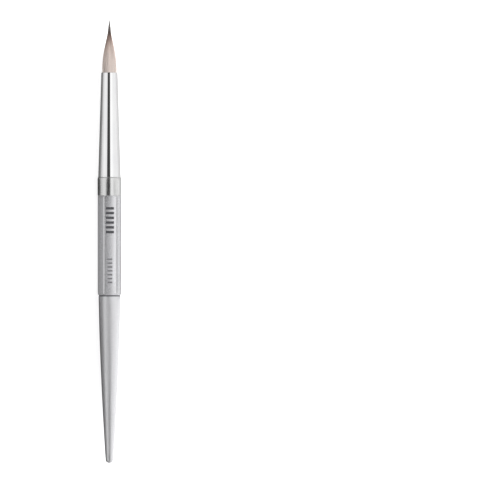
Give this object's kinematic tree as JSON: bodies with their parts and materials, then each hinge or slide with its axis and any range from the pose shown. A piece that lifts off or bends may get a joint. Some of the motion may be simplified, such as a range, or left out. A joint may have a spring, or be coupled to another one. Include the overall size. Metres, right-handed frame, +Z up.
{
  "type": "fine detail brush",
  "caption": "Round detail brush with a pointed hair tuft, a long polished conical ferrule and a slim metal handle with a hexagonal grip and a bowed, blunt-ended tail.",
  "frame": {"origin": "bottom centre of the bounding box: halfway along the brush, under its axis, on the surface that it lies on", "axes": "+Y along the brush towards the point of the hair, +Z up out of one grip flat, X across"},
  "size_m": [0.0094, 0.174, 0.0093],
  "materials": {
    "hair": "fine springy filaments, pale at the belly, brown then near black at the point",
    "waxed_thread": "waxed winding",
    "resin": "cured epoxy",
    "polished_nickel": "mirror polished",
    "brass": "turned and threaded",
    "rubber": "moulded, matte",
    "satin_aluminium": "fine bead-blasted satin",
    "steel": "rolled thread",
    "nylon": "dark washer, matte"
  },
  "bodies": {
    "handle": {"collar": "polished_nickel", "socket_insert": "brass", "hex_grip": "satin_aluminium", "tie_rod": "steel", "tail_washer": "nylon", "tail": "satin_aluminium"},
    "seal_ring": {"stem_o_ring": "rubber"},
    "head": {"filament_tuft": "hair", "binding_thread": "waxed_thread", "resin_plug": "resin", "ferrule": "polished_nickel", "head_stem": "brass"}
  },
  "joints": [
    {"name": "head_travel", "type": "slide", "parent": "handle", "child": "seal_ring", "axis": [0, 1, 0], "range_m": [0, 0.0056]},
    {"name": "head_screw", "type": "hinge", "parent": "seal_ring", "child": "head", "pos_m": [0, 0.02445, 0.00465], "axis": [0, 1, 0], "range_deg": [0, 2880]}
  ],
  "couplings": [
    {"joint": "head_screw", "follows": "head_travel", "rad_per_m": 8976}
  ]
}
